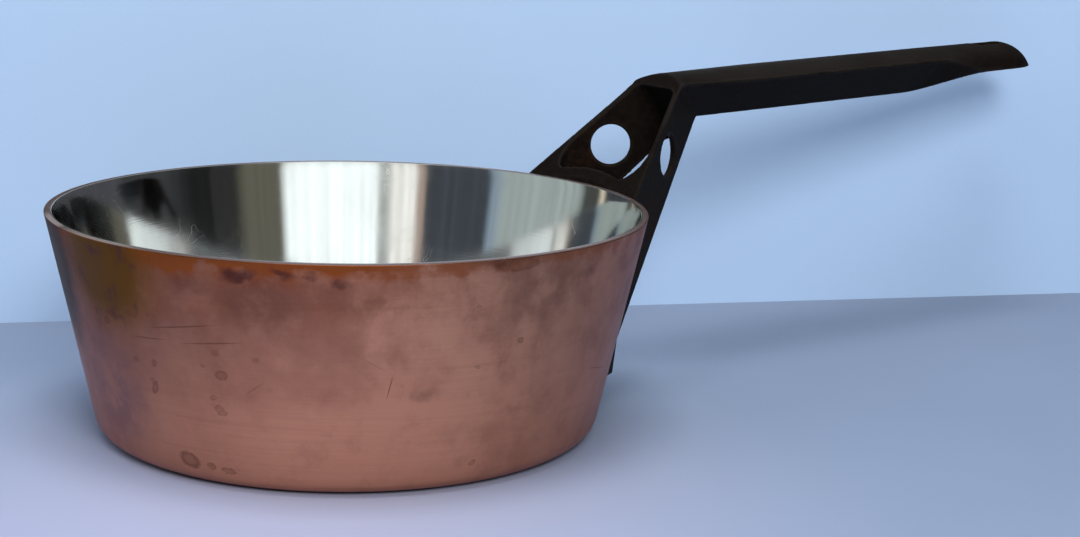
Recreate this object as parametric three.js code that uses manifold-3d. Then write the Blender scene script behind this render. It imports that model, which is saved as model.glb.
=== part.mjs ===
// Saucepan: a flared copper body with a steel lining and a cast-iron handle held by three rivets.
// Millimetres, +Z up. The origin is the middle of the base, and the handle points along +X.
import * as THREE from 'three';
import { mergeVertices } from 'three/addons/utils/BufferGeometryUtils.js';
import Module from 'manifold-3d';

const wasm = await Module();
wasm.setup();

const degree = Math.PI / 180;

// Pan body
const rimRadius = 100;
const panHeight = 75;
const baseRadius = 83.5; // where the straight wall would meet the table
const baseCorner = 8; // outside radius between base and wall
const copperThickness = 2;
const steelThickness = 0.4;
const bondGap = 0.1; // between the copper and its lining

// Handle plate, which hugs the wall
const seatGap = 0.3; // between the wall and the handle
const plateTopThickness = 3.1; // at the height of the rim
const plateFootThickness = 5.8; // at the square-cut lower end
const plateFootHeight = 14;

// Handle bracket: two upright webs that spread from the grip to the plate
const webThickness = 2.2;
const webSpread = 29.1 * degree; // each web from the handle's middle plane, seen from above
const webLean = 0.75 * degree; // the webs come closer together towards the bottom
const webHoleDiameter = 15.25;
const webHoleRun = 24.9; // middle of the hole, out from the rim
const webHoleLift = 1.1; // middle of the hole over the middle of the web
const frameSlope = 44.9 * degree; // sloping top of the bracket
const frameRise = 1.05; // of the sloping top over the rim, at the rim's radius
const lowEdgeSlope = 48.2 * degree; // underside of the webs
const hollowRimFillet = 6.5; // between web and plate, at the height of the rim
const hollowFootFillet = 2.2; // the same at the plate's foot
const hollowEndFillet = 6.5;
const hollowEndFlat = 0.4; // half width of the flat that stays between the end fillets
const hollowEndSetback = 8.2; // end of the window, short of the elbow
const hollowEndSlope = 32 * degree; // of the end wall, from upright

// Grip
const elbowRise = 38.75; // over the rim, where the sloping top and the ridge would meet
const elbowRounding = 1; // height over which the sloping top runs into the grip
const flankRounding = 5; // width over which the webs' outside faces run into the grip's sides
const elbowDrop = 0.5; // of the ridge at the elbow, under its straight line
const elbowFlattening = 1.2; // of the crown at the elbow
const elbowEase = 34; // length over which drop and flattening run out
const gripLength = 199.85; // elbow to tip
const gripRise = 1.68 * degree;
const gripHalfWidth = 12;
const gripCrown = 4.2;
const gripDepth = 17.4; // ridge to keel
const keelHalfWidth = 2.95;
const kneeRun = 12.8; // past the elbow, where the underside of the webs meets the keel
const keelFall = 46; // length over which the keel runs out into the tongue
const creaseFall = 32; // length over which the crease turns down to the tongue
const tongueLength = 29.6;
const tongueDepth = 10.9;
const tongueHalfWidth = 10.8; // at its flat underside
const tongueEdge = 0.36; // upright edge under the tongue's crown
const noseLength = 17.4; // of the rounded tip
const hangSlotSetback = 22.6; // middle of the slot, short of the tip
const hangSlotLength = 16;
const hangSlotWidth = 7;

// Rivets, in a row across the plate
const rivetRise = 24; // over the plate's foot
const rivetSpacing = 9 * degree; // round the pan's axis
const rivetRadius = 3;
const rivetGap = 0.3; // round the shank and under both heads
const rivetHeadRadius = 5;
const rivetHeadHeight = 1.8;
const rivetTailRadius = 4.5;
const rivetTailHeight = 2;

// Fineness of the round forms
const panSides = 72;
const seatSides = 144;
const holeSides = 32;
const rivetSides = 20;
const cornerSteps = 6;
const crownSteps = 8;
const hollowSteps = 12;
const webRings = 3;
const elbowRings = 20;
const gripRings = 4;
const tongueRings = 12;
const noseRings = 14;
const noseEnd = 84 * degree; // how far the tip's rounding turns before its small flat end
const cutMargin = 20; // how far a cutting body passes what it cuts

const wallLean = Math.atan2(rimRadius - baseRadius, panHeight);
const wallThickness = copperThickness + bondGap + steelThickness;

// Outer radius of the pan's straight wall, continued above the rim
function wallRadius(z) {
  return baseRadius + z * Math.tan(wallLean);
}

// Closed solid of a geometry: shared corners are merged and slivers at the poles are left out
function solidOf(geometry) {
  const bare = new THREE.BufferGeometry();
  bare.setAttribute('position', geometry.getAttribute('position'));
  bare.setIndex(geometry.getIndex());
  const merged = mergeVertices(bare);
  const corners = merged.getIndex().array;
  const points = merged.getAttribute('position').array;
  const kept = [];
  let volume = 0;
  for (let i = 0; i < corners.length; i += 3) {
    const [a, b, c] = corners.slice(i, i + 3);
    if (a === b || b === c || c === a) continue;
    kept.push(a, b, c);
    const [p, q, r] = [a, b, c].map((k) => new THREE.Vector3().fromArray(points, 3 * k));
    volume += p.dot(q.cross(r));
  }
  if (volume < 0) kept.reverse();
  return new wasm.Manifold(new wasm.Mesh({
    numProp: 3,
    vertProperties: new Float32Array(points),
    triVerts: new Uint32Array(kept),
  }));
}

function geometryOf(solid) {
  const { vertProperties, triVerts } = solid.getMesh();
  const geometry = new THREE.BufferGeometry();
  geometry.setAttribute('position', new THREE.BufferAttribute(vertProperties, 3));
  geometry.setIndex(new THREE.BufferAttribute(triVerts, 1));
  geometry.computeVertexNormals();
  return geometry;
}

// Body turned about +Z from a profile of [radius, height] points
function turned(profile, sides) {
  const points = profile.map(([radius, height]) => new THREE.Vector2(radius, height));
  return new THREE.LatheGeometry(points, sides).rotateX(Math.PI / 2);
}

// Skin through rings of equal point count, closed at both ends; across gives a ring point's flat place
function loft(rings, across) {
  const count = rings[0].length;
  const positions = rings.flat().flatMap((point) => point.toArray());
  const corners = [];
  for (let ring = 0; ring + 1 < rings.length; ring += 1) {
    for (let i = 0; i < count; i += 1) {
      const near = ring * count + i;
      const nearNext = ring * count + (i + 1) % count;
      corners.push(near, nearNext, nearNext + count, near, nearNext + count, near + count);
    }
  }
  const cap = (ring, flip) => {
    const outline = rings[ring].map(across);
    const turnedBack = THREE.ShapeUtils.isClockWise(outline);
    if (turnedBack) outline.reverse();
    for (const face of THREE.ShapeUtils.triangulateShape(outline, [])) {
      const [a, b, c] = face.map((k) => ring * count + (turnedBack ? count - 1 - k : k));
      corners.push(...(flip !== turnedBack ? [a, c, b] : [a, b, c]));
    }
  };
  cap(0, true);
  cap(rings.length - 1, false);
  const geometry = new THREE.BufferGeometry();
  geometry.setAttribute('position', new THREE.Float32BufferAttribute(positions, 3));
  geometry.setIndex(corners);
  return geometry;
}

const fromAbove = (point) => new THREE.Vector2(point.x, point.y);
const fromTip = (point) => new THREE.Vector2(point.y, point.z);

// Points of an arc about a centre, from one angle to another, both ends included
function arc(centre, radius, from, to, steps) {
  return Array.from({ length: steps + 1 }, (unused, i) => {
    const angle = from + (to - from) * i / steps;
    return [centre[0] + radius * Math.cos(angle), centre[1] + radius * Math.sin(angle)];
  });
}

// Pan profile, moved inwards by a depth, from the axis along the base and up to a height
function panProfile(depth, top) {
  const centre = [baseRadius - baseCorner * (1 - Math.sin(wallLean)) / Math.cos(wallLean), baseCorner];
  const corner = arc(centre, baseCorner - depth, -Math.PI / 2, -wallLean, cornerSteps);
  return [[0, depth], ...corner, [wallRadius(top) - depth / Math.cos(wallLean), top]];
}

function panLayer(outside, inside) {
  const outer = panProfile(outside, panHeight);
  const inner = panProfile(inside, panHeight).reverse();
  return solidOf(turned([...outer, ...inner], panSides));
}

// Handle outline along its length: reaches are measured from the pan's axis
const elbowHeight = panHeight + elbowRise;
const elbowReach = rimRadius + (elbowRise - frameRise) / Math.tan(frameSlope);
const kneeReach = elbowReach + kneeRun;
const tipReach = elbowReach + gripLength;
const noseReach = tipReach - noseLength;
const tongueReach = tipReach - tongueLength;
const keelEndReach = tongueReach - keelFall;
const creaseEndReach = tongueReach - creaseFall;
const frameTop = (x) => panHeight + frameRise + (x - rimRadius) * Math.tan(frameSlope);
const ridgeTop = (x) => elbowHeight + (x - elbowReach) * Math.tan(gripRise);
const kneeHeight = ridgeTop(kneeReach) - gripDepth;
const lowEdge = (x) => kneeHeight + (x - kneeReach) * Math.tan(lowEdgeSlope);
const eased = (x, from, to) => THREE.MathUtils.smoothstep(x, from, to);

// Where webs and plate start, inside the pan: the sloping top is still above the plate's foot there
const rootReach = rimRadius - (panHeight + frameRise - plateFootHeight - cutMargin) / Math.tan(frameSlope);

// Outside face of a web: distance from the handle's middle plane
function webOutside(x, z) {
  return keelHalfWidth + (kneeReach - x) * Math.tan(webSpread) + (z - kneeHeight) * Math.tan(webLean);
}

// The lower of two values, with the corner between them rounded
function roundedLower(a, b, rounding) {
  const share = THREE.MathUtils.clamp(0.5 + (b - a) / (2 * rounding), 0, 1);
  return THREE.MathUtils.lerp(b, a, share) - rounding * share * (1 - share);
}

// One section of the handle's outside, as a ring of points in the plane at x
function handleSection(x, nose) {
  const keel = ridgeTop(x) - gripDepth + (gripDepth - tongueDepth) * eased(x, keelEndReach, tongueReach);
  const under = x < kneeReach ? Math.max(lowEdge(x), plateFootHeight) : keel;
  const bend = 1 - eased(x, elbowReach, elbowReach + elbowEase);
  const ridge = keel + (ridgeTop(x) - elbowDrop * bend - keel) * nose;
  const plainCrown = gripCrown - elbowFlattening * bend;
  const tongueCrown = tongueDepth - tongueEdge;
  const crown = THREE.MathUtils.lerp(plainCrown, tongueCrown, eased(x, creaseEndReach, tongueReach)) * nose;
  const crease = roundedLower(frameTop(x), ridge - crown, elbowRounding);
  const gripHalf = gripHalfWidth * Math.sqrt(nose);
  const creaseHalf = -roundedLower(-gripHalf, -webOutside(x, crease), flankRounding);
  const keelHalf = THREE.MathUtils.lerp(keelHalfWidth, tongueHalfWidth, eased(x, keelEndReach, tongueReach));
  const underHalf = x < kneeReach ? webOutside(x, under) : keelHalf * Math.sqrt(nose);
  const sweep = 2 * Math.atan2(crown, gripHalf);
  const crownRadius = gripHalf / Math.sin(sweep);
  const half = [];
  for (let i = 0; i <= crownSteps; i += 1) {
    const angle = sweep * i / crownSteps;
    const arch = ridge - crownRadius * (1 - Math.cos(angle));
    const height = roundedLower(frameTop(x), arch, elbowRounding);
    half.push([creaseHalf * Math.sin(angle) / Math.sin(sweep), height]);
  }
  half.push(sideKnee(x, [creaseHalf, crease], [underHalf, under], keel), [underHalf, under]);
  const mirrored = half.slice(1).reverse().map(([y, z]) => [-y, z]);
  return [...half, ...mirrored].map(([y, z]) => new THREE.Vector3(x, y, z));
}

// Where the grip's sloping side turns into the upright web, as a [half width, height] point of the side
function sideKnee(x, crease, under, keel) {
  const least = 0.05; // share of the side that stays above and below the knee
  const sideRun = (gripHalfWidth - keelHalfWidth) / (crease[1] - keel);
  const knee = keel + (webOutside(x, keel) - keelHalfWidth) / (sideRun - Math.tan(webLean));
  const highest = THREE.MathUtils.lerp(crease[1], under[1], least);
  const lowest = THREE.MathUtils.lerp(under[1], crease[1], least);
  if (knee < lowest) return crease.map((value, i) => THREE.MathUtils.lerp(under[i], value, least));
  const height = Math.min(knee, highest);
  return [webOutside(x, height), height];
}

function handleBody() {
  const bendReach = elbowReach - gripHalfWidth;
  const spaced = (from, to, steps) => Array.from(
    { length: steps },
    (unused, i) => from + (to - from) * i / steps,
  );
  const reaches = [
    ...spaced(rootReach, bendReach, webRings),
    ...spaced(bendReach, kneeReach, elbowRings),
    ...spaced(kneeReach, keelEndReach, gripRings),
    ...spaced(keelEndReach, noseReach, tongueRings),
  ];
  const rings = reaches.map((x) => handleSection(x, 1));
  for (let i = 0; i <= noseRings; i += 1) {
    const turn = noseEnd * i / noseRings;
    const x = noseReach + (tipReach - noseReach) * Math.sin(turn) / Math.sin(noseEnd);
    rings.push(handleSection(x, Math.cos(turn)));
  }
  return solidOf(loft(rings, fromTip));
}

// Outer radius of the plate, which tapers from its foot up to the rim
function plateRadius(z) {
  const up = (z - plateFootHeight) / (panHeight - plateFootHeight);
  const thickness = THREE.MathUtils.lerp(plateFootThickness, plateTopThickness, up);
  return wallRadius(z) + seatGap + thickness;
}

// Height at which the sloping top has left the plate, so that above it the hollow need not narrow
const plateCrest = frameTop(plateRadius(panHeight) + plateTopThickness);

// Rounded plan of the space between webs and plate at one height
function hollowPlan(z) {
  const sine = Math.sin(webSpread);
  const cosine = Math.cos(webSpread);
  const inside = webOutside(0, z) * cosine - webThickness; // of the web's inner face from the axis
  const radius = plateRadius(Math.min(z, plateCrest));
  const up = (z - plateFootHeight) / (panHeight - plateFootHeight);
  const fillet = THREE.MathUtils.lerp(hollowFootFillet, hollowRimFillet, THREE.MathUtils.clamp(up, 0, 1));
  const along = Math.sqrt((radius + fillet) ** 2 - (inside - fillet) ** 2);
  const plateCentre = [
    sine * (inside - fillet) + cosine * along,
    cosine * (inside - fillet) - sine * along,
  ];
  const endWall = elbowReach - hollowEndSetback + (elbowHeight - z) * Math.tan(hollowEndSlope);
  const meeting = (inside - hollowEndFillet - cosine * hollowEndFlat) / sine;
  const endX = Math.min(endWall - hollowEndFillet, meeting);
  const endCentre = [endX, (inside - hollowEndFillet - sine * endX) / cosine];
  const webNormal = Math.PI / 2 - webSpread;
  const towardsAxis = Math.atan2(plateCentre[1], plateCentre[0]);
  const half = [
    ...arc([0, 0], radius, 0, towardsAxis, cornerSteps).slice(0, -1),
    ...arc(plateCentre, fillet, towardsAxis + Math.PI, webNormal, cornerSteps),
    ...arc(endCentre, hollowEndFillet, webNormal, 0, cornerSteps),
  ];
  const mirrored = half.slice(1).reverse().map(([x, y]) => [x, -y]);
  return [...half, ...mirrored].map(([x, y]) => new THREE.Vector3(x, y, z));
}

function handleHollow() {
  const low = plateFootHeight - cutMargin;
  const high = elbowHeight + gripCrown;
  const rings = [];
  for (let i = 0; i <= hollowSteps; i += 1) {
    rings.push(hollowPlan(low + (high - low) * i / hollowSteps));
  }
  return solidOf(loft(rings, fromAbove));
}

// Plate: a piece of a cone between the outside faces of the webs, under the sloping top
function handlePlate() {
  const top = panHeight + cutMargin;
  const cone = solidOf(turned(
    [
      [0, plateFootHeight],
      [plateRadius(plateFootHeight), plateFootHeight],
      [plateRadius(top), top],
      [0, top],
    ],
    seatSides,
  ));
  const wedgeRing = (x) => [
    [-webOutside(x, plateFootHeight), plateFootHeight],
    [webOutside(x, plateFootHeight), plateFootHeight],
    [webOutside(x, frameTop(x)), frameTop(x)],
    [-webOutside(x, frameTop(x)), frameTop(x)],
  ].map(([y, z]) => new THREE.Vector3(x, y, z));
  const wedge = solidOf(loft([wedgeRing(rootReach), wedgeRing(plateRadius(top))], fromTip));
  return cone.intersect(wedge);
}

// Space that the pan takes, with the seat's clearance, continued above the rim
function panClearance() {
  const top = elbowHeight + cutMargin;
  const outline = [...panProfile(-seatGap, top), [0, top]];
  return solidOf(turned(outline, seatSides));
}

function upright(geometry) {
  return geometry.rotateX(Math.PI / 2);
}

function webHole(side) {
  const length = 4 * webThickness;
  const reach = rimRadius + webHoleRun;
  const height = (frameTop(reach) + lowEdge(reach)) / 2 + webHoleLift;
  const middle = webOutside(reach, height) - webThickness / Math.cos(webSpread) / 2;
  const bore = new THREE.CylinderGeometry(webHoleDiameter / 2, webHoleDiameter / 2, length, holeSides);
  bore.rotateZ(-side * webSpread);
  bore.translate(reach, side * middle, height);
  return solidOf(bore);
}

// Round-ended slot through the tongue, for hanging the pan up
function hangSlot() {
  const depth = 2 * gripDepth;
  const reach = tipReach - hangSlotSetback;
  const end = hangSlotLength / 2 - hangSlotWidth / 2;
  const outline = new THREE.Shape();
  outline.absarc(end, 0, hangSlotWidth / 2, -Math.PI / 2, Math.PI / 2, false);
  outline.absarc(-end, 0, hangSlotWidth / 2, Math.PI / 2, 1.5 * Math.PI, false);
  const curveSegments = holeSides / 2;
  const slot = new THREE.ExtrudeGeometry(outline, { depth, bevelEnabled: false, curveSegments });
  return solidOf(slot.translate(reach, 0, ridgeTop(reach) - depth / 2));
}

// Places of the rivets: local +Z runs out of the pan, square to its wall, from the copper's outside
const rivetHeight = plateFootHeight + rivetRise;
const rivetAngles = { rivet_left: rivetSpacing, rivet_middle: 0, rivet_right: -rivetSpacing };

function rivetPlace(angle) {
  const around = new THREE.Matrix4().makeRotationZ(angle);
  const out = new THREE.Matrix4().makeTranslation(wallRadius(rivetHeight), 0, rivetHeight);
  const lean = new THREE.Matrix4().makeRotationY(Math.PI / 2 + wallLean);
  return around.multiply(out).multiply(lean);
}

function rivetBores() {
  const length = 2 * cutMargin;
  const radius = rivetRadius + rivetGap;
  return Object.values(rivetAngles).map((angle) => {
    const bore = upright(new THREE.CylinderGeometry(radius, radius, length, rivetSides));
    return solidOf(bore.applyMatrix4(rivetPlace(angle)));
  });
}

// A rivet with a low domed head inside the pan and a hammered tail on the plate
function rivetShape() {
  const plateFace = (plateRadius(rivetHeight) - wallRadius(rivetHeight)) * Math.cos(wallLean) + rivetGap;
  const headFace = -wallThickness - rivetGap;
  const dome = (radius, height, face, out) => {
    const ball = (radius ** 2 + height ** 2) / (2 * height);
    const sweep = Math.asin(radius / ball);
    return Array.from({ length: cornerSteps + 1 }, (unused, i) => {
      const angle = sweep * i / cornerSteps;
      return [ball * Math.sin(angle), face + out * (height - ball * (1 - Math.cos(angle)))];
    });
  };
  const profile = [
    ...dome(rivetHeadRadius, rivetHeadHeight, headFace, -1),
    [rivetRadius, headFace],
    [rivetRadius, plateFace],
    ...dome(rivetTailRadius, rivetTailHeight, plateFace, 1).reverse(),
  ];
  profile[0][0] = 0;
  profile[profile.length - 1][0] = 0;
  return solidOf(turned(profile, rivetSides));
}

function part(name, solid, material) {
  const mesh = new THREE.Mesh(geometryOf(solid), material);
  mesh.name = name;
  return mesh;
}

function finish(color, roughness, metalness) {
  return new THREE.MeshStandardMaterial({ color, roughness, metalness });
}

const copper = finish('#b8735a', 0.38, 1);
const steel = finish('#c9cccd', 0.2, 1);
const castIron = finish('#2b2523', 0.62, 0.4);
const bores = rivetBores();
const drilled = (solid) => bores.reduce((left, bore) => left.subtract(bore), solid);

const copperShell = drilled(panLayer(0, copperThickness));
const steelLiner = drilled(panLayer(copperThickness + bondGap, wallThickness));
const bracket = handleBody().subtract(handleHollow()).add(handlePlate());
const pierced = [webHole(1), webHole(-1), hangSlot()].reduce((left, bore) => left.subtract(bore), bracket);
const handle = drilled(pierced.subtract(panClearance()));

const saucepan = new THREE.Group();
saucepan.add(part('copper_shell', copperShell, copper));
saucepan.add(part('steel_liner', steelLiner, steel));
saucepan.add(part('handle', handle, castIron));
for (const [name, angle] of Object.entries(rivetAngles)) {
  const rivet = part(name, rivetShape(), steel);
  rivet.applyMatrix4(rivetPlace(angle));
  saucepan.add(rivet);
}

export default saucepan;
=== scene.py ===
import math

import bmesh
import bpy
import numpy as np
from mathutils import Matrix, Vector


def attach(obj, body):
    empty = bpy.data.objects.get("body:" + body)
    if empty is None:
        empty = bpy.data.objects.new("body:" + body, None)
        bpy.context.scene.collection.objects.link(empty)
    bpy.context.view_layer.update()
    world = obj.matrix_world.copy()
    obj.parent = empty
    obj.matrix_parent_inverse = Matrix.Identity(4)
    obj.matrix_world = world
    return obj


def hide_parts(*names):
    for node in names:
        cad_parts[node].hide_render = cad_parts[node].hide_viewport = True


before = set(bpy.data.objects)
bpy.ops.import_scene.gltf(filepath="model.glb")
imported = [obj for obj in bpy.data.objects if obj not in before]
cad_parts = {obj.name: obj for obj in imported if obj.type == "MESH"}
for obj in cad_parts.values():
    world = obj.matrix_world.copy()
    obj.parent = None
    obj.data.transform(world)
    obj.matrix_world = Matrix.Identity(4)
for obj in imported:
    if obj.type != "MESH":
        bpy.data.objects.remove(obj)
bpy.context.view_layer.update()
scene = bpy.context.scene
scene.view_settings.view_transform = "Standard"
mm = 0.001
bumpDepth = 0.4 * mm  # of the fine relief in every finish
weldReach = 0.001 * mm  # points of a solid that are closer than this are one


# a node socket that takes part in plain arithmetic: each operator adds a Math node
class Sock:
    def __init__(self, graph, socket):
        self.graph, self.socket = graph, socket

    def __add__(self, other):
        return self.graph.math("ADD", self, other)

    def __radd__(self, other):
        return self.graph.math("ADD", other, self)

    def __sub__(self, other):
        return self.graph.math("SUBTRACT", self, other)

    def __rsub__(self, other):
        return self.graph.math("SUBTRACT", other, self)

    def __mul__(self, other):
        return self.graph.math("MULTIPLY", self, other)

    def __rmul__(self, other):
        return self.graph.math("MULTIPLY", other, self)

    def __truediv__(self, other):
        return self.graph.math("DIVIDE", self, other)

    def __rtruediv__(self, other):
        return self.graph.math("DIVIDE", other, self)

    def most(self, other):
        return self.graph.math("MAXIMUM", self, other)

    # another output of the same node
    def at(self, name):
        return Sock(self.graph, self.socket.node.outputs[name])


# the nodes of one tree
class Graph:
    def __init__(self, tree):
        self.tree = tree
        tree.nodes.clear()

    # any node: its type, its settings, the values or links of its sockets, and the output wanted
    def node(self, kind, settings=None, values=None, out=0):
        made = self.tree.nodes.new(kind)
        for name, value in (settings or {}).items():
            if name == "stops":
                ramp = made.color_ramp
                while len(ramp.elements) < len(value):
                    ramp.elements.new(0.5)
                for element, (place, colour) in zip(ramp.elements, value):
                    element.position = place
                    element.color = colour
            else:
                setattr(made, name, value)
        for name, value in (values or {}).items():
            if isinstance(value, Sock):
                self.tree.links.new(value.socket, made.inputs[name])
            else:
                made.inputs[name].default_value = value
        return Sock(self, made.outputs[out]) if len(made.outputs) else made

    def math(self, operation, *values):
        return self.node("ShaderNodeMath", {"operation": operation}, dict(enumerate(values)))

    def noise(self, vector, scale, detail=3.0, rough=0.5, out="Fac"):
        values = {"Vector": vector, "Scale": scale, "Detail": detail, "Roughness": rough}
        return self.node("ShaderNodeTexNoise", None, values, out)

    # 0 at low and 1 at high, or the other way round where low is the larger
    def ease(self, value, low, high):
        settings = {"interpolation_type": "SMOOTHSTEP"}
        values = {"Value": value, "From Min": low, "From Max": high}
        return self.node("ShaderNodeMapRange", settings, values)

    def mix(self, factor, first, second):
        settings = {"data_type": "RGBA", "blend_type": "MIX"}
        return self.node("ShaderNodeMix", settings, {0: factor, 6: first, 7: second}, 2)

    def vectorMath(self, operation, first, second, out="Vector"):
        return self.node("ShaderNodeVectorMath", {"operation": operation}, {0: first, 1: second}, out)

    def scaled(self, vector, amount):
        return self.node("ShaderNodeVectorMath", {"operation": "SCALE"}, {0: vector, "Scale": amount})

    def length(self, vector):
        return self.node("ShaderNodeVectorMath", {"operation": "LENGTH"}, {0: vector}, "Value")

    def stretched(self, vector, scales):
        return self.vectorMath("MULTIPLY", vector, scales)

    # coordinates pushed about by a noise, by up to half the amount each way
    def pushed(self, coords, amount, scale, detail, rough):
        push = self.noise(coords, scale, detail, rough, "Color")
        push = self.vectorMath("SUBTRACT", push, (0.5, 0.5, 0.5))
        return self.vectorMath("ADD", coords, self.stretched(push, (amount, amount, amount)))

    def combined(self, x, y, z):
        return self.node("ShaderNodeCombineXYZ", None, {"X": x, "Y": y, "Z": z})

    def parts(self, vector):
        x = self.node("ShaderNodeSeparateXYZ", None, {"Vector": vector}, "X")
        return x, x.at("Y"), x.at("Z")

    def objectCoords(self):
        return self.node("ShaderNodeTexCoord", out="Object")

    # how far the surface faces up: 1 on a level top, -1 underneath
    def facingUp(self):
        return self.parts(self.node("ShaderNodeNewGeometry", out="Normal"))[2]

    def bump(self, heights, strength):
        values = {"Height": heights, "Strength": strength, "Distance": bumpDepth}
        return self.node("ShaderNodeBump", None, values)


def rgb(red, green, blue):
    return (red, green, blue, 1.0)


def newMaterial(name):
    material = bpy.data.materials.new(name)
    material.use_nodes = True
    return material, Graph(material.node_tree)


# the one shader of a material: fixed sockets are set on it directly, the varying ones are linked
def metalShader(graph, values):
    shader = graph.node("ShaderNodeBsdfPrincipled", None, values, "BSDF")
    graph.node("ShaderNodeOutputMaterial", None, {"Surface": shader})


def addPiece(name, mesh):
    piece = bpy.data.objects.new(name, mesh)
    scene.collection.objects.link(piece)
    return piece


# the piece's mesh with its modifiers worked in
def settled(piece):
    bpy.context.view_layer.update()
    depsgraph = bpy.context.evaluated_depsgraph_get()
    mesh = bpy.data.meshes.new_from_object(piece.evaluated_get(depsgraph))
    piece.modifiers.clear()
    old = piece.data
    piece.data = mesh
    bpy.data.meshes.remove(old)
    return piece


def outwards(mesh):
    form = bmesh.new()
    form.from_mesh(mesh)
    bmesh.ops.recalc_face_normals(form, faces=form.faces)
    form.to_mesh(mesh)
    form.free()


def triangleCount(mesh):
    return sum(len(face.vertices) - 2 for face in mesh.polygons)


# camera: the photograph's place, turned as its horizon is
cameraView = {
    "place": (-0.351514, -0.56254, 0.190443),
    "right": (0.79589, -0.60489, 0.02596),
    "up": (0.10133, 0.17536, 0.97928),
    "lens": 66.667,
    "sensor": 36.0,
    "nearest": 0.01,
}


def addCamera(view):
    data = bpy.data.cameras.new("photoCamera")
    data.sensor_fit = "HORIZONTAL"
    data.sensor_width = view["sensor"]
    data.lens = view["lens"]
    data.clip_start = view["nearest"]
    camera = bpy.data.objects.new("photoCamera", data)
    scene.collection.objects.link(camera)
    right = Vector(view["right"]).normalized()
    up = Vector(view["up"])
    up = (up - right * up.dot(right)).normalized()
    turn = Matrix((right, up, right.cross(up))).transposed()
    camera.matrix_world = Matrix.Translation(view["place"]) @ turn.to_4x4()
    scene.camera = camera


addCamera(cameraView)
print("camera placed")

# pan: sizes in millimetres, as in the solids, but for a thinner bond and so a thicker lining
pan = {
    "rimRadius": 100.0,
    "height": 75.0,
    "baseRadius": 83.5,
    "baseCorner": 8.0,
    "copper": 2.0,
    "lining": 0.46,
    "bond": 0.04,
    "copperLip": (0.45, 0.12),  # rounding of the layer's outer and inner edge at the rim
    "liningLip": (0.1, 0.3),
    "sides": 288,
    "cornerSteps": 14,
    "wallSteps": 24,
    "lipSteps": 5,
    "waviness": 0.05,
    "waveScale": 24.0,
}
wallLean = math.atan2(pan["rimRadius"] - pan["baseRadius"], pan["height"])
quarterTurn = math.pi / 2


def wallRadius(height):
    return pan["baseRadius"] + height * math.tan(wallLean)


# half section of the pan moved inwards by a depth: from the axis along the base and up the wall
def panSection(depth, top):
    corner = pan["baseCorner"]
    middle = pan["baseRadius"] - corner * (1 - math.sin(wallLean)) / math.cos(wallLean)
    points = [(middle * share, depth) for share in (0.0, 0.25, 0.5, 0.75)]
    bend = corner - depth
    for step in range(pan["cornerSteps"] + 1):
        angle = -quarterTurn + (quarterTurn - wallLean) * step / pan["cornerSteps"]
        points.append((middle + bend * math.cos(angle), corner + bend * math.sin(angle)))
    foot = points[-1]
    head = (wallRadius(top) - depth / math.cos(wallLean), top)
    for step in range(1, pan["wallSteps"] + 1):
        share = step / pan["wallSteps"]
        points.append((foot[0] + (head[0] - foot[0]) * share, foot[1] + (head[1] - foot[1]) * share))
    return points


# closed half section of one layer, with its edges at the rim rounded
def layerSection(outside, inside, outerRounding, innerRounding):
    lip = []
    edges = (
        (outside, outerRounding, 1, -wallLean, quarterTurn),
        (inside, innerRounding, -1, quarterTurn, math.pi - wallLean),
    )
    for depth, rounding, sign, start, end in edges:
        top = pan["height"] - rounding
        edge = wallRadius(top) - depth / math.cos(wallLean)
        middle = edge - sign * rounding / math.cos(wallLean)
        for step in range(pan["lipSteps"] + 1):
            angle = start + (end - start) * step / pan["lipSteps"]
            lip.append((middle + rounding * math.cos(angle), top + rounding * math.sin(angle)))
    outer = panSection(outside, pan["height"] - outerRounding)
    inner = panSection(inside, pan["height"] - innerRounding)
    return outer[:-1] + lip + inner[:-1][::-1]


def sectionMesh(name, points):
    mesh = bpy.data.meshes.new(name)
    verts = [(radius * mm, 0.0, height * mm) for radius, height in points]
    mesh.from_pydata(verts, [(i, i + 1) for i in range(len(verts) - 1)], [])
    return mesh


# a Geometry Nodes tree with named inputs: the tree, its graph and the node that gives the inputs
def newTree(name, inputs, output):
    tree = bpy.data.node_groups.new(name, "GeometryNodeTree")
    for label, kind in inputs:
        tree.interface.new_socket(label, in_out="INPUT", socket_type="NodeSocket" + kind)
    tree.interface.new_socket(output, in_out="OUTPUT", socket_type="NodeSocketGeometry")
    graph = Graph(tree)
    return tree, graph, graph.node("NodeGroupInput", out="Section")


formInputs = (("Section", "Geometry"), ("Sides", "Int"), ("Waviness", "Float"), ("Wave Size", "Float"))


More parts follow.
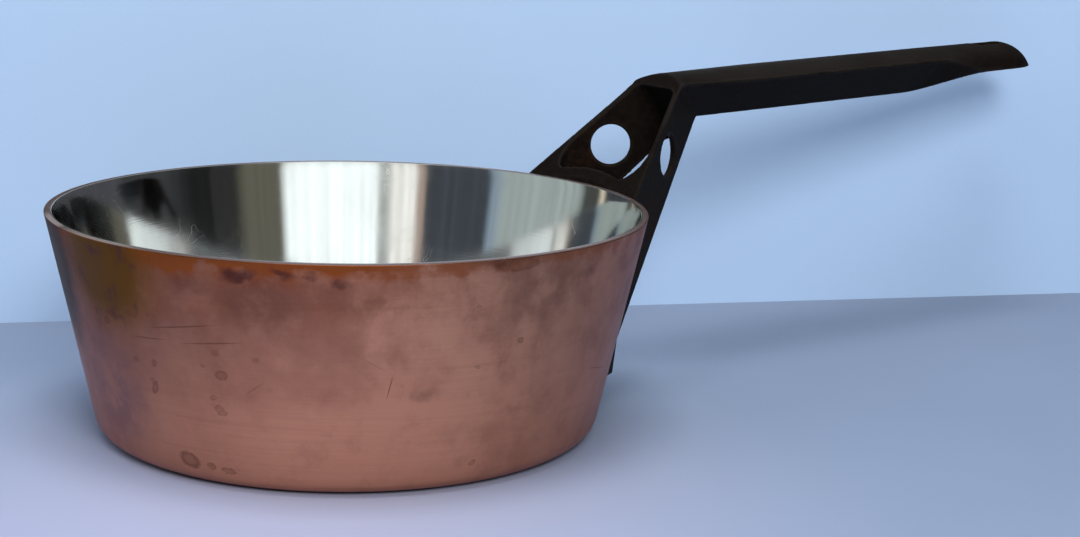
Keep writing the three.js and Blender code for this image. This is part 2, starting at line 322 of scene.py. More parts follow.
# node group that turns a half section about Z: each column of a grid becomes the section at one angle
def turningGroup():
    steadyReach = 40 * mm  # the waves fade out from here to the axis
    nudge = 1e-4  # keeps the division from falling just short of a whole column
    seamReach = 0.002 * mm
    tree, graph, given = newTree("turnedForm", formInputs, "Form")
    settings = {"component": "MESH"}
    values = {"Geometry": given}
    count = graph.node("GeometryNodeAttributeDomainSize", settings, values, "Point Count")
    sides = given.at("Sides")
    values = {"Vertices X": sides + 1, "Vertices Y": count}
    grid = graph.node("GeometryNodeMeshGrid", None, values, "Mesh")
    index = graph.node("GeometryNodeInputIndex")
    column = graph.math("FLOOR", index / count + nudge)
    row = index - column * count
    angle = column / sides * (2 * math.pi)
    settings = {"data_type": "FLOAT_VECTOR", "domain": "POINT"}
    place = graph.node("GeometryNodeInputPosition")
    values = {"Geometry": given, "Value": place, "Index": row}
    point = graph.node("GeometryNodeSampleIndex", settings, values, "Value")
    reach, _, height = graph.parts(point)
    cosine, sine = graph.math("COSINE", angle), graph.math("SINE", angle)
    ring = graph.combined(reach * cosine, reach * sine, height)
    wave = graph.noise(ring, given.at("Wave Size"), 1.0)
    radius = reach - wave * given.at("Waviness") * graph.ease(reach, 0.0, steadyReach)
    final = graph.combined(radius * cosine, radius * sine, height)
    moved = graph.node("GeometryNodeSetPosition", None, {"Geometry": grid, "Position": final})
    values = {"Geometry": moved, "Distance": seamReach}
    joined = graph.node("GeometryNodeMergeByDistance", None, values)
    smooth = graph.node("GeometryNodeSetShadeSmooth", None, {"Geometry": joined})
    graph.node("NodeGroupOutput", None, {"Form": smooth})
    return tree


turnedForm = turningGroup()


# tree of one pan layer: the turned form with its finish
def layerTree():
    tree, graph, given = newTree("panLayer", (*formInputs, ("Finish", "Material")), "Layer")
    values = {name: given.at(name) for name, kind in formInputs}
    form = graph.node("GeometryNodeGroup", {"node_tree": turnedForm}, values)
    real = graph.node("GeometryNodeRealizeInstances", None, {"Geometry": form})
    values = {"Geometry": real, "Material": given.at("Finish")}
    done = graph.node("GeometryNodeSetMaterial", None, values)
    graph.node("NodeGroupOutput", None, {"Layer": done})
    return tree


# runs a tree on a piece, its inputs given by their names, and keeps the result as a plain mesh
def runTree(piece, tree, values):
    modifier = piece.modifiers.new(tree.name, "NODES")
    modifier.node_group = tree
    for item in tree.interface.items_tree:
        if item.item_type == "SOCKET" and item.in_out == "INPUT" and item.name in values:
            modifier[item.identifier] = values[item.name]
    settled(piece)
    outwards(piece.data)
    return piece


# copper finish: a mark is (degrees round the axis, height, half length, half width, tilt, strength),
# its sizes in millimetres; a patch is the same without the strength
copperLook = {
    "colour": rgb(0.645, 0.276, 0.156),
    "pale": rgb(0.72, 0.335, 0.198),
    "brown": rgb(0.275, 0.101, 0.064),
    "golden": rgb(0.118, 0.048, 0.003),
    "olive": rgb(0.034, 0.021, 0.008),
    "orange": rgb(0.39, 0.092, 0.022),
    "cutEdge": rgb(0.30, 0.25, 0.235),
    "violetReflection": rgb(0.26, 0.130, 0.120),
    "stain": rgb(0.13, 0.042, 0.026),
    "soot": rgb(0.075, 0.030, 0.032),
    "grazing": rgb(0.84, 0.74, 0.80),
    "rough": 0.34,
    "relief": 0.10,
    "brushing": 0.35,
    "crustGloss": 0.05,
    "brushLines": (22.0, 22.0, 1500.0),
    "fineLines": (60.0, 60.0, 4200.0),
    "streaks": (9.0, 9.0, 260.0),
    "violetReflectionPatch": (-176, 25, 17, 20, 0),
    "goldenPatch": (-172, 67, 27, 23, 0),
    "olivePatch": (167, 62, 17, 32, 0),
    "smudges": [
        (-141, 70.4, 6.5, 2.2, 4, 0.75), (-133, 71.2, 4.5, 1.7, -6, 0.65),
        (-123.6, 68.8, 4.4, 1.7, 0, 0.6), (-137, 62, 17, 10, 0, 0.36),
        (-126, 65, 14, 6, 0, 0.25), (-84, 62, 14, 10, 0, 0.18),
        (-107, 33.2, 6.5, 2.6, 0, 0.22), (-128.5, 70.8, 2.6, 1.6, 20, 0.6),
        (-150, 66, 9, 4, 10, 0.3), (-99, 19, 14, 4, 5, 0.16),
        (-96, 73.4, 7, 1.5, 0, 0.4), (-118, 62, 12, 4, 0, 0.22),
        (-88, 60, 10, 4, -8, 0.2), (-172, 71, 5, 1.5, 0, 0.6),
        (-74, 66, 5, 2, -6, 0.35),
    ],
    "spots": [
        (-156.4, 8.0, 3.5, 2.3, -15, 0.7), (-151.2, 7.2, 1.5, 0.9, -10, 0.6),
        (-147.2, 6.3, 2.4, 0.9, -10, 0.5), (-162.5, 30.4, 1.1, 2.3, -25, 0.65),
        (-146.3, 38.0, 2.0, 1.4, 0, 0.5), (-147.5, 27.0, 1.6, 1.1, 0, 0.4),
        (-173.5, 48.9, 1.5, 1.0, 0, 0.6), (-88.8, 47.9, 1.2, 0.9, 0, 0.6),
        (-147.0, 45.0, 1.2, 0.8, 0, 0.4), (-96.0, 9.0, 1.0, 0.8, 0, 0.5),
        (-166.0, 53.5, 1.6, 0.9, -20, 0.6), (-170.5, 60.0, 1.0, 0.8, 0, 0.45),
        (-166.5, 38.5, 1.1, 0.8, 0, 0.5), (-161.5, 38.5, 1.2, 1.0, 20, 0.5),
        (-163.0, 33.0, 1.0, 0.8, 0, 0.35), (-148.5, 30.5, 1.1, 0.8, 0, 0.45),
        (-147.0, 25.5, 1.4, 0.9, 15, 0.45), (-139.0, 44.0, 1.0, 0.7, 0, 0.4),
        (-150.0, 40.5, 0.9, 0.7, 0, 0.4), (-92.0, 72.8, 8.0, 2.0, 0, 0.5),
        (-99.0, 60.5, 0.7, 0.5, 0, 0.4), (-97.5, 41.0, 0.7, 0.5, 0, 0.4),
    ],
    "scratches": [
        (-153.5, 52.1, 12.0, 0.2, 9, 0.65), (-147.5, 48.0, 10.0, 0.2, 7, 0.6),
        (-162, 46.5, 7.0, 0.2, 4, 0.5), (-114.5, 36.2, 3.4, 0.2, 78, 0.6),
        (-140, 34.5, 3.5, 0.18, 35, 0.4), (-118, 44, 6.0, 0.14, -30, 0.2),
        (-60, 30, 8.0, 0.2, -12, 0.5), (60, 50, 9.0, 0.2, 8, 0.5),
        (130, 36, 10.0, 0.2, -6, 0.5),
    ],
}


# how far a point is from the middle of an oval mark on the wall: 1 is the mark's edge
def markDistance(graph, coords, degrees, height, length, width, tilt):
    markDepth = 20
    cornerFall = 1.1
    angle = math.radians(degrees)
    corner = pan["baseCorner"]
    below = max(corner - height, 0.0)  # how far down the rounded corner the mark lies
    reach = wallRadius(max(height, corner)) - cornerFall * below ** 2 / corner
    centre = (reach * math.cos(angle) * mm, reach * math.sin(angle) * mm, height * mm)
    values = {
        "Vector": coords,
        "Location": centre,
        "Rotation": (math.radians(tilt), 0.0, angle),
        "Scale": (markDepth * mm, length * mm, width * mm),
    }
    return graph.length(graph.node("ShaderNodeMapping", {"vector_type": "TEXTURE"}, values))


# the strongest of a list of marks at each point
def strongest(marks):
    total, *others = marks
    for mark in others:
        total = total.most(mark)
    return total


# soft marks: 0 outside, the mark's strength inside
def softMarks(graph, coords, marks, outer, inner):
    made = []
    for *place, strength in marks:
        made.append(graph.ease(markDistance(graph, coords, *place), outer, inner) * strength)
    return strongest(made)


# water spots: a slightly darker rim round the middle, and stray small ones all over
def waterSpots(graph, coords, marks):
    made = []
    for *place, strength in marks:
        far = markDistance(graph, coords, *place)
        ring = 0.55 + graph.ease(far, 0.5, 0.95) * 0.45
        made.append(graph.ease(far, 1.3, 0.85) * ring * (strength * 0.85))
    values = {"Vector": coords, "Scale": 74.0, "Randomness": 1.0}
    cells = graph.node("ShaderNodeTexVoronoi", None, values, "Distance")
    chance = graph.node("ShaderNodeSeparateColor", None, {"Color": cells.at("Color")}, "Red")
    size = chance * 0.2
    stray = graph.ease(cells, size + 0.04, size - 0.04) * graph.ease(chance.at("Green"), 0.80, 0.84)
    return strongest(made).most(stray * 0.3)


def copperFinish(look):
    material, graph = newMaterial("brushedCopper")
    coords = graph.objectCoords()
    x, y, height = graph.parts(coords)
    loose = graph.pushed(coords, 6 * mm, 170.0, 3.0, 0.6)
    uneven = graph.pushed(coords, 2 * mm, 620.0, 2.0, 0.5)

    lines = graph.noise(graph.stretched(coords, look["brushLines"]), 1.0, 3.0, 0.65)
    fineLines = graph.noise(graph.stretched(coords, look["fineLines"]), 1.0, 2.0, 0.6)
    streaks = graph.noise(graph.stretched(coords, look["streaks"]), 1.0, 4.0, 0.6)
    cloud = graph.noise(coords, 21.0, 5.0, 0.6)
    mottle = graph.noise(coords, 85.0, 5.0, 0.65)
    grime = graph.noise(coords, 420.0, 3.0, 0.6)
    blotch = graph.noise(coords, 38.0, 8.0, 0.74)

    # brushed metal, unevenly browned
    brushed = graph.ease(lines * 0.6 + fineLines * 0.4, 0.1, 0.9)
    colour = graph.mix(brushed, look["colour"], look["pale"])
    for tarnish in (
        graph.ease(cloud, 0.47, 0.72) * 0.22,
        graph.ease(mottle, 0.5, 0.75) * 0.26,
        graph.ease(blotch, 0.5, 0.68) * 0.24,
        graph.ease(streaks, 0.55, 0.8) * 0.25,
    ):
        colour = graph.mix(tarnish, colour, look["brown"])

    # browner to the top; browner at the left, partly tarnish and partly a painted dark reflection; a
    # painted shade to the right, the shadowed floor as the copper would mirror it; a painted violet
    # reflection at the foot of the left side
    high = graph.ease(height + (cloud - 0.5) * 0.03, 0.016, 0.070)
    high = high * graph.ease(mottle + cloud, 0.74, 1.2)
    colour = graph.mix(high * 0.5, colour, look["brown"])
    # browner at the left: partly tarnish, partly a painted dark reflection
    left = graph.ease(x + (blotch - 0.5) * 0.05, -0.052, -0.100)
    left = left * (0.42 + 0.28 * graph.ease(height, 0.010, 0.045))
    colour = graph.mix(left, colour, look["brown"])
    # painted shade to the right: the shadowed floor as the copper would mirror it
    right = graph.ease(x + (cloud - 0.5) * 0.04, -0.025, 0.03) * graph.ease(y, -0.03, -0.06)
    colour = graph.mix(right * 0.26, colour, look["brown"])
    # painted violet reflection at the foot of the left side
    violetReflection = graph.ease(markDistance(graph, loose, *look["violetReflectionPatch"]), 1.3, 0.2)
    violetReflection = violetReflection * graph.ease(mottle, 0.3, 0.6)
    colour = graph.mix(violetReflection * 0.75, colour, look["violetReflection"])

    # a ragged orange band below the rim, broader at the left
    ragged = height + (mottle - 0.5) * 0.018 + (streaks - 0.5) * 0.008
    flush = graph.ease(ragged + (blotch - 0.5) * 0.04, 0.046, 0.074) * graph.ease(x, 0.01, -0.06)
    broad = graph.ease(ragged, 0.0665, 0.0745) * graph.ease(x, -0.035, -0.068)
    band = graph.ease(ragged, 0.0702, 0.0743) * 0.52 + broad * 0.5 + flush * 0.34
    colour = graph.mix(band * graph.ease(cloud, 0.26, 0.52), colour, look["orange"])

    # golden and olive tarnish at the left, partly a painted dark reflection, broken up by darker
    # flecks
    gold = graph.ease(markDistance(graph, loose, *look["goldenPatch"]), 1.2, 0.45)
    gold = gold * graph.ease(mottle + blotch, 0.45, 0.85)
    colour = graph.mix(gold * 0.96, colour, look["golden"])
    flecks = gold * graph.ease(mottle + grime * 0.5, 0.80, 0.92)
    colour = graph.mix(flecks * 0.75, colour, look["soot"])
    # dark olive strip near the left edge: partly olive tarnish, partly a painted reflection of a dark
    # upright thing
    olive = graph.ease(markDistance(graph, loose, *look["olivePatch"]), 1.2, 0.5)
    colour = graph.mix(olive * 0.94, colour, look["olive"])

    smoke = softMarks(graph, loose, look["smudges"], 1.3, 0.3)
    colour = graph.mix(smoke * graph.ease(mottle + blotch, 0.72, 1.08), colour, look["soot"])
    spot = waterSpots(graph, uneven, look["spots"])
    colour = graph.mix(spot, colour, look["stain"])
    scratch = softMarks(graph, coords, look["scratches"], 1.4, 0.5)
    colour = graph.mix(scratch, colour, look["stain"])
    colour = graph.mix(graph.ease(grime, 0.62, 0.8) * 0.12, colour, look["brown"])

    # the cut edge on top of the rim is grey, and the base is browner underneath
    edge = graph.ease(height, 0.0744, 0.0748) * graph.ease(graph.facingUp(), 0.3, 0.75)
    colour = graph.mix(edge * 0.9, colour, look["cutEdge"])
    under = graph.ease(height, 0.0012, 0.0)
    colour = graph.mix(under * (0.25 + 0.4 * mottle), colour, look["brown"])

    # less metal where the tarnish, the painted dark reflection and the cut edge lie
    crustAndReflection = (olive * 0.72).most(gold * 0.56).most(edge * 0.2)
    rough = look["rough"] + (lines - 0.5) * 0.12 + spot * 0.15 + smoke * 0.12
    rough = rough + (mottle - 0.5) * 0.16 - edge * 0.1
    heights = lines * 0.26 + fineLines * 0.25 - scratch * 1.2 - spot * 0.15 + cloud * 0.6
    metalShader(graph, {
        "Base Color": colour,
        "Metallic": 1 - crustAndReflection,
        "Roughness": rough,
        "Normal": graph.bump(heights, look["relief"]),
        "Anisotropic": look["brushing"],
        "Specular Tint": look["grazing"],
        "Specular IOR Level": look["crustGloss"],
    })
    return material


# steel of the lining: polished, with fine rings from the polishing
steelLook = {
    "colour": rgb(0.84, 0.85, 0.84),
    "dim": rgb(0.66, 0.66, 0.64),
    "hairline": rgb(0.9, 0.9, 0.9),
    "rough": 0.075,
    "relief": 0.025,
    "rivetRough": 0.3,
    "rivetRelief": 0.2,
}


def steelFinish(name, look, rough, relief):
    material, graph = newMaterial(name)
    coords = graph.objectCoords()
    x, y, z = graph.parts(coords)
    reach = graph.length(graph.combined(x, y, 0.0))
    rings = graph.noise(graph.combined(x * 12.0, y * 12.0, (z + reach) * 1500.0), 1.0, 3.0, 0.6)
    cloud = graph.noise(coords, 30.0, 4.0, 0.55)
    smear = graph.noise(graph.stretched(coords, (45.0, 45.0, 14.0)), 1.0, 4.0, 0.6)

    # hairline scratches along the middle of a noise
    warp = graph.noise(coords, 60.0, 2.0, 0.5, "Color")
    loose = graph.vectorMath("ADD", coords, graph.stretched(warp, (0.02, 0.02, 0.02)))
    hair = graph.noise(graph.stretched(loose, (160.0, 160.0, 120.0)), 1.0, 0.5, 0.5)
    hair = graph.ease(graph.math("ABSOLUTE", hair - 0.5), 0.006, 0.0)
    hair = hair * graph.ease(cloud, 0.48, 0.6)

    colour = graph.mix(graph.ease(smear, 0.45, 0.75) * 0.45, look["colour"], look["dim"])
    colour = graph.mix(hair * 0.3, colour, look["hairline"])
    varied = rough + graph.ease(cloud, 0.4, 0.75) * 0.09 + (rings - 0.5) * 0.07 + hair * 0.2
    bump = graph.bump(rings * 0.6 + cloud * 1.5 - hair * 0.5, relief)
    metalShader(graph, {"Base Color": colour, "Metallic": 1.0, "Roughness": varied, "Normal": bump})
    return material


copper = copperFinish(copperLook)
liningSteel = steelFinish("liningSteel", steelLook, steelLook["rough"], steelLook["relief"])
rivetSteel = steelFinish("rivetSteel", steelLook, steelLook["rivetRough"], steelLook["rivetRelief"])
print("metal finishes made")

panLayer = layerTree()
layerSizes = {"Sides": pan["sides"], "Waviness": pan["waviness"] * mm, "Wave Size": pan["waveScale"]}
depthLining = pan["copper"] + pan["bond"]
wallDepth = depthLining + pan["lining"]

copperSection = layerSection(0.0, pan["copper"], *pan["copperLip"])
copperShell = addPiece("copperShell", sectionMesh("copperSection", copperSection))
runTree(copperShell, panLayer, dict(layerSizes, Finish=copper))
liningSection = layerSection(depthLining, wallDepth, *pan["liningLip"])
steelLining = addPiece("steelLining", sectionMesh("liningSection", liningSection))
runTree(steelLining, panLayer, dict(layerSizes, Finish=liningSteel))
print("pan layers turned:", len(copperShell.data.polygons), len(steelLining.data.polygons), "faces")

# rivets: sizes in millimetres, as in the solids, but seated closer, with a smaller gap
rivet = {
    "count": 3,
    "spacing": 9.0,  # degrees round the pan
    "height": 38.0,
    "shank": 3.0,
    "head": (5.0, 1.8),
    "tail": (4.5, 2.0),
    "rimBand": 0.25,  # narrow band under the edge of each head
    "gap": 0.05,
    "plateThickness": 4.74,
    "seatGap": 0.3,
    "sides": 40,
    "domeSteps": 10,
    "hammering": 0.1,
    "hammerScale": 480.0,
}


# half section of a rivet's head or tail, from the top of its dome to the shank
def domeSection(sizes, radius, high, face, out):
    ball = (radius ** 2 + high ** 2) / (2 * high)
    sweep = math.asin(radius / ball)
    points = []
    for step in range(sizes["domeSteps"] + 1):
        angle = sweep * step / sizes["domeSteps"]
        points.append((ball * math.sin(angle), face + out * (high - ball * (1 - math.cos(angle)))))
    return points + [(radius - sizes["rimBand"], face), (sizes["shank"], face)]


# half section of a rivet: domed head inside the pan, shank through wall and plate, hammered tail
def rivetSection(sizes):
    plateFace = (sizes["seatGap"] + sizes["plateThickness"]) * math.cos(wallLean)
    head = domeSection(sizes, *sizes["head"], -wallDepth - sizes["gap"], -1)
    tail = domeSection(sizes, *sizes["tail"], plateFace + sizes["gap"], 1)
    return head + tail[::-1]


def rivetTree(sizes):
    inputs = (
        ("Section", "Geometry"), ("Sides", "Int"), ("Count", "Int"), ("Spacing", "Float"),
        ("Reach", "Float"), ("Height", "Float"), ("Lean", "Float"), ("Hammering", "Float"),
        ("Finish", "Material"),
    )
    tree, graph, given = newTree("rivetRow", inputs, "Rivets")
    values = {"Section": given, "Sides": given.at("Sides"), "Waviness": 0.0, "Wave Size": 1.0}
    form = graph.node("GeometryNodeGroup", {"node_tree": turnedForm}, values)
    line = graph.node("GeometryNodeMeshLine", None, {"Count": given.at("Count")})
    index = graph.node("GeometryNodeInputIndex")
    angle = (index - (given.at("Count") - 1) / 2) * given.at("Spacing")
    across = given.at("Reach") * graph.math("COSINE", angle)
    along = given.at("Reach") * graph.math("SINE", angle)
    place = graph.combined(across, along, given.at("Height"))
    points = graph.node("GeometryNodeSetPosition", None, {"Geometry": line, "Position": place})
    turn = graph.combined(0.0, given.at("Lean") + quarterTurn, angle)
    values = {"Points": points, "Instance": form, "Rotation": turn}
    row = graph.node("GeometryNodeInstanceOnPoints", None, values)
    real = graph.node("GeometryNodeRealizeInstances", None, {"Geometry": row})
    dent = graph.noise(graph.node("GeometryNodeInputPosition"), sizes["hammerScale"], 1.0)
    normal = graph.node("GeometryNodeInputNormal")
    push = graph.scaled(normal, dent * given.at("Hammering") * -1.0)
    beaten = graph.node("GeometryNodeSetPosition", None, {"Geometry": real, "Offset": push})
    values = {"Geometry": beaten, "Material": given.at("Finish")}
    done = graph.node("GeometryNodeSetMaterial", None, values)
    graph.node("NodeGroupOutput", None, {"Rivets": done})
    return tree


rivetRow = addPiece("rivetRow", sectionMesh("rivetSection", rivetSection(rivet)))
runTree(rivetRow, rivetTree(rivet), {
    "Sides": rivet["sides"],
    "Count": rivet["count"],
    "Spacing": math.radians(rivet["spacing"]),
    "Reach": wallRadius(rivet["height"]) * mm,
    "Height": rivet["height"] * mm,
    "Lean": wallLean,
    "Hammering": rivet["hammering"] * mm,
    "Finish": rivetSteel,
})
print("rivets set:", len(rivetRow.data.polygons), "faces")

# handle: the solid's form with its edges softened as sand casting leaves them
casting = {
    "grain": 0.46,
    "passes": 26,
    "pull": 0.5,
    "push": -0.52,
    "wearSpread": 4,
    "wearContrast": 9.0,
    "triangles": 185000,
}
ironLook = {
    "colour": rgb(0.0072, 0.0052, 0.0044),
    "dark": rgb(0.0035, 0.0024, 0.0019),
    # colour of rubbed places, also a painted sheen on the upward faces of the grip's crown
    "wornAndSheen": rgb(0.0170, 0.0140, 0.0120),
    "rust": rgb(0.034, 0.014, 0.006),
    "sheen": rgb(1.0, 0.80, 0.66),
    "rough": 0.56,
    "relief": 0.32,
    "gloss": 0.08,
    "gripStart": (0.13, 0.16),  # metres along the handle, from nothing to full
    "tipRust": (0.29, 0.335),
    "bracketRust": (0.14, 0.115),
}


# the mean of each point's neighbours, as a function of any values on the points
def neighbourMean(mesh):
    count = len(mesh.vertices)
    ends = np.empty(len(mesh.edges) * 2, np.int32)
    mesh.edges.foreach_get("vertices", ends)
    first, second = ends[0::2], ends[1::2]
    links = np.maximum(np.bincount(ends, minlength=count), 1).reshape(-1, 1)

    def around(values):
        sums = [
            np.bincount(first, column[second], count) + np.bincount(second, column[first], count)
            for column in values.T
        ]
        return np.stack(sums, 1) / links

    return around


def pointValues(mesh, name):
    values = np.empty(len(mesh.vertices) * 3, np.float32)
    mesh.vertices.foreach_get(name, values)
    return values.reshape(-1, 3).astype(np.float64)


# rounds the edges and levels the skin: each pull inwards is followed by a push, so no size is lost
def softenSkin(mesh, around, sizes):
    places = pointValues(mesh, "co")
    for _ in range(sizes["passes"]):
        for amount in (sizes["pull"], sizes["push"]):
            places += amount * (around(places) - places)
    mesh.vertices.foreach_set("co", places.astype(np.float32).ravel())
    mesh.update()


# how far each point stands proud of its neighbours, spread a little: 0.5 is flat, more is an edge
def storeWear(mesh, around, sizes):
    places = pointValues(mesh, "co")
    proud = ((places - around(places)) * pointValues(mesh, "normal")).sum(1, keepdims=True)
    proud = proud / (sizes["grain"] * mm)
    for _ in range(sizes["wearSpread"]):
        proud = around(proud)
    wear = np.clip(0.5 + proud * sizes["wearContrast"], 0.0, 1.0).astype(np.float32)
    mesh.attributes.new("edgeWear", "FLOAT", "POINT").data.foreach_set("value", wear.ravel())


def castHandle(sizes):
    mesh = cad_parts["handle"].data.copy()
    mesh.name = "castHandle"
    mesh.materials.clear()
    form = bmesh.new()
    form.from_mesh(mesh)
    bmesh.ops.remove_doubles(form, verts=form.verts, dist=weldReach)
    form.to_mesh(mesh)
    form.free()
    piece = addPiece("castHandle", mesh)
    remesh = piece.modifiers.new("grain", "REMESH")
    remesh.mode = "VOXEL"
    remesh.voxel_size = sizes["grain"] * mm
    remesh.use_smooth_shade = True
    settled(piece)
    around = neighbourMean(piece.data)
    softenSkin(piece.data, around, sizes)
    storeWear(piece.data, around, sizes)
    thinning = piece.modifiers.new("thinning", "DECIMATE")
    thinning.ratio = min(1.0, sizes["triangles"] / triangleCount(piece.data))
    return settled(piece)


def ironFinish(look):
    material, graph = newMaterial("castIron")
    coords = graph.objectCoords()
    along = graph.parts(coords)[0]
    wear = graph.node("ShaderNodeAttribute", {"attribute_name": "edgeWear"}, None, "Fac")
    grit = graph.noise(coords, 1500.0, 3.0, 0.6)
    skin = graph.noise(coords, 420.0, 4.0, 0.6)
    cloud = graph.noise(coords, 60.0, 5.0, 0.6)
    drift = graph.noise(coords, 16.0, 3.0, 0.5)
    upwards = graph.facingUp()
    colour = graph.mix(graph.ease(skin, 0.3, 0.7), look["dark"], look["colour"])
    colour = graph.mix(graph.ease(cloud, 0.4, 0.75) * 0.6, colour, look["dark"])

    # the crown of the grip is rubbed by hands and lighter on its upward faces, partly wear and partly
    # a painted sheen; edges are rubbed bright
    rubbedAndSheen = graph.ease(upwards, 0.25, 0.95) * graph.ease(along, *look["gripStart"])
    rubbedAndSheen = rubbedAndSheen * graph.ease(drift + cloud * 0.5, 0.45, 0.95)
    colour = graph.mix(rubbedAndSheen * 0.45, colour, look["wornAndSheen"])
    edge = graph.ease(wear, 0.56, 0.95) * graph.ease(cloud, 0.25, 0.6)
    colour = graph.mix(edge * 0.5, colour, look["wornAndSheen"])

    # rust: at the tip, and inside the bracket where the hollows keep damp
    hollow = graph.ease(wear, 0.5, 0.3)
    tip = graph.ease(along, *look["tipRust"]) * graph.ease(upwards, 0.55, -0.1)
    bracket = graph.ease(along, *look["bracketRust"]) * graph.ease(upwards, 0.6, 0.1)
    rust = tip * 0.55 + bracket * 0.35 + hollow * 0.2
    rust = rust * graph.ease(cloud + skin * 0.4, 0.62, 0.95)
    colour = graph.mix(rust, colour, look["rust"])

    rough = look["rough"] + (skin - 0.5) * 0.25 - rubbedAndSheen * 0.12 - edge * 0.1 + rust * 0.3
    heights = grit * 0.5 + skin * 1.2 + cloud * 1.5
    metalShader(graph, {
        "Base Color": colour,
        "Metallic": 0.0,
        "Roughness": rough,
        "Normal": graph.bump(heights, look["relief"]),
        "Specular IOR Level": look["gloss"],
        "Specular Tint": look["sheen"],
    })
    return material


castIron = ironFinish(ironLook)
handle = castHandle(casting)
handle.data.materials.append(castIron)
print("handle cast:", triangleCount(handle.data), "triangles")

# every piece rides on the pan's one body and stands for its solid
for piece, slotName, nodes in (
    (copperShell, "copper", ["copper_shell"]),
    (steelLining, "lining_steel", ["steel_liner"]),
    (handle, "cast_iron", ["handle"]),
    (rivetRow, "rivet_steel", ["rivet_left", "rivet_middle", "rivet_right"]),
):
    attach(piece, "root")
    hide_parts(*nodes)

# studio: a table and a wall behind it, seen from their front sides only
studio = {
    "floorColour": rgb(0.214, 0.268, 0.374),
    # painted pool of light on the table: its colour, middle and reach
    "paintedFloorLight": rgb(0.362, 0.382, 0.526),
    "paintedLightPlace": (-0.083, -0.081, 0.0),
    "paintedLightReach": 0.23,
    "floorRough": 0.6,
    "floorHeight": -0.0004,
    "floorReach": (0.07, 3.0),
    "floorSides": 96,
    "wallColour": rgb(0.45, 0.61, 0.83),
    "wallRough": 0.8,
    "wallFoot": ((-0.0429, 0.1985), (0.4003, 0.0044)),
    "wallReach": 1.6,
    "wallHeight": 1.4,
    "dimming": 0.96,
    "relief": 0.08,
    "gloss": 0.25,
}


# plain finish; a second colour, where one is given, is a painted pool of light round one point
def stageFinish(name, values, colour, rough, light=None, place=(0.0, 0.0, 0.0), reach=1.0):
    material, graph = newMaterial(name)
    coords = graph.objectCoords()
    cloud = graph.noise(coords, 7.0, 3.0, 0.5)
    speck = graph.noise(coords, 900.0, 2.0, 0.5)
    dimmer = rgb(*(value * values["dimming"] for value in colour[:3]))
    tone = graph.mix(graph.ease(cloud, 0.35, 0.7), colour, dimmer)
    if light:
        # painted pool of light: lighter towards the one point
        far = graph.vectorMath("DISTANCE", coords, place, "Value")
        tone = graph.mix(graph.ease(far, reach, 0.0), tone, light)
    plain = graph.node("ShaderNodeBsdfPrincipled", None, {
        "Base Color": tone,
        "Roughness": rough,
        "Normal": graph.bump(speck, values["relief"]),
        "Specular IOR Level": values["gloss"],
    }, "BSDF")
    clear = graph.node("ShaderNodeBsdfTransparent")
    back = graph.node("ShaderNodeNewGeometry", out="Backfacing")
    seen = graph.node("ShaderNodeMixShader", None, {0: back, 1: plain, 2: clear})
    graph.node("ShaderNodeOutputMaterial", None, {"Surface": seen})
    return material


def stageSheet(name, corners, faces, material):
    mesh = bpy.data.meshes.new(name)
    mesh.from_pydata(corners, [], faces)
    mesh.materials.append(material)
    plane = addPiece(name, mesh)
    return plane


# the table is open under the pan's base, so that the base is lit where a view looks up at it
def addStage(values):
    low, sides = values["floorHeight"], values["floorSides"]
    corners = []
    for reach in values["floorReach"]:
        for side in range(sides):
            angle = 2 * math.pi * side / sides
            corners.append((reach * math.cos(angle), reach * math.sin(angle), low))
    faces = [(i, i + sides, (i + 1) % sides + sides, (i + 1) % sides) for i in range(sides)]
    # painted pool of light on the table
    spot = (values["paintedFloorLight"], values["paintedLightPlace"], values["paintedLightReach"])
    finish = stageFinish("tableTop", values, values["floorColour"], values["floorRough"], *spot)
    stageSheet("tableTop", corners, faces, finish)
    left, right = (Vector((x, y, low)) for x, y in values["wallFoot"])
    along = (right - left).normalized() * values["wallReach"]
    up = Vector((0, 0, values["wallHeight"]))
    corners = [left - along, right + along, right + along + up, left - along + up]
    finish = stageFinish("backdrop", values, values["wallColour"], values["wallRough"])
    backdrop = stageSheet("backdrop", corners, [(0, 1, 2, 3)], finish)
    backdrop.visible_glossy = False  # polished metal mirrors the room instead
    backdrop.visible_shadow = False


addStage(studio)

# light: soft lamps round the pan, (degrees round the axis, degrees up, distance, size, watts, colour)
lamps = {
    "frontLamp": (-112.0, 33.0, 1.5, 0.5, 14.0, (1.0, 0.985, 0.97)),
    "leftLamp": (-172.0, 42.0, 1.2, 0.9, 2.5, (1.0, 0.99, 0.98)),
    "topLamp": (-122.0, 79.0, 1.6, 0.7, 18.0, (0.97, 0.98, 1.0)),
}


def addLamps(table):
    for name, (around, up, far, size, watts, colour) in table.items():
        data = bpy.data.lights.new(name, "AREA")
        data.size = size
        data.energy = watts
        data.color = colour
        lamp = bpy.data.objects.new(name, data)
        lamp.visible_glossy = False
        scene.collection.objects.link(lamp)
        turn, lift = math.radians(around), math.radians(up)
        level = math.cos(lift)
        out = Vector((math.cos(turn) * level, math.sin(turn) * level, math.sin(lift)))
        lamp.location = out * far
        lamp.rotation_euler = out.to_track_quat("Z", "Y").to_euler()


addLamps(lamps)

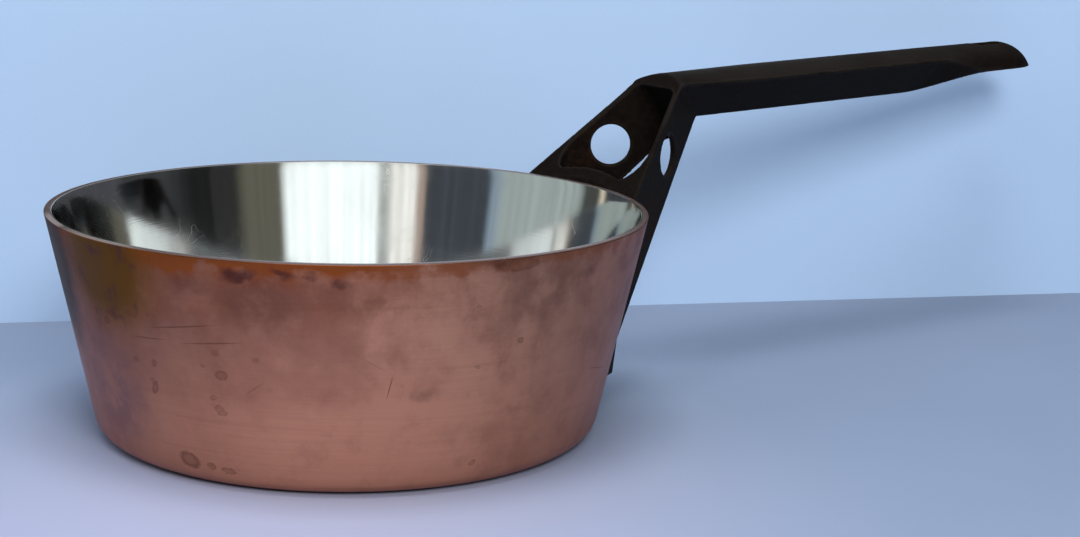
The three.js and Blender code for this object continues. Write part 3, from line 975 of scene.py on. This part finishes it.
# the room that the polished metal mirrors: each band goes from its angle to the next band's, and has
# the angle, how soft its start is, both in degrees, and its colour
room = {
    "start": -60.0,
    "plain": rgb(0.22, 0.23, 0.24),
    "ceiling": rgb(0.20, 0.21, 0.22),
    "ceilingStart": (0.30, 0.62),
    "skylight": rgb(0.85, 0.88, 0.90),
    "skylightPlace": (-0.30, -0.45, 0.84),
    "skylightEdge": (0.80, 0.95),
    "foldScale": (130.0, 0.6),
    "bands": [
        (-60, 3.0, rgb(0.014, 0.015, 0.015)),   # dark corner
        (-45, 6.0, rgb(0.045, 0.047, 0.050)),
        (-14, 2.0, rgb(0.065, 0.068, 0.078)),   # grey partition
        (47, 2.5, rgb(0.52, 0.58, 0.66)),       # pale wall
        (62, 3.0, rgb(0.05, 0.055, 0.06)),
        (109, 1.0, rgb(0.60, 0.54, 0.43)),      # lit door frame
        (113, 1.0, rgb(0.06, 0.065, 0.06)),
        (125, 2.0, rgb(0.36, 0.42, 0.41)),      # side window
        (170, 3.0, rgb(0.26, 0.34, 0.42)),
        (175, 1.0, rgb(0.056, 0.066, 0.080)),   # dark wall
        (205, 0.5, rgb(0.42, 0.32, 0.27)),
        (209, 1.0, rgb(0.98, 0.98, 0.93)),      # curtain
        (221, 0.6, rgb(0.40, 0.42, 0.41)),
        (226, 0.8, rgb(1.15, 1.25, 1.25)),      # front window
        (267.5, 1.5, rgb(0.12, 0.115, 0.09)),   # wooden wall
        (287, 2.0, rgb(0.030, 0.031, 0.030)),
    ],
}


def addRoom(values):
    world = bpy.data.worlds.new("room")
    world.use_nodes = True
    scene.world = world
    graph = Graph(world.node_tree)
    direction = graph.objectCoords()
    x, y, z = graph.parts(direction)
    around = graph.math("ARCTAN2", y, x) / (2 * math.pi) - values["start"] / 360
    share = graph.math("FRACT", around)
    stops, last = [], values["bands"][0][2]
    for degrees, soft, colour in values["bands"]:
        place = degrees - values["start"]
        stops += [(max(place - soft, 0) / 360, last), ((place + soft) / 360, colour)]
        last = colour
    bands = graph.node("ShaderNodeValToRGB", {"stops": stops}, {"Fac": share}, "Color")

    # soft folds, as in a curtain
    foldsRound, foldsUp = values["foldScale"]
    folds = graph.noise(graph.combined(share * foldsRound, z * foldsUp, 0.0), 1.0, 3.0, 0.6)
    bands = graph.scaled(bands, 0.80 + 0.4 * graph.ease(folds, 0.25, 0.75))

    mirrored = graph.mix(graph.ease(z, *values["ceilingStart"]), bands, values["ceiling"])
    towards = Vector(values["skylightPlace"]).normalized()
    facing = graph.vectorMath("DOT_PRODUCT", direction, towards, "Value")
    mirrored = graph.mix(graph.ease(facing, *values["skylightEdge"]), mirrored, values["skylight"])
    glossy = graph.node("ShaderNodeLightPath", out="Is Glossy Ray")
    colour = graph.mix(glossy, values["plain"], mirrored)
    light = graph.node("ShaderNodeBackground", None, {"Color": colour, "Strength": 1.0})
    graph.node("ShaderNodeOutputWorld", None, {"Surface": light})


addRoom(room)
print("studio lit")
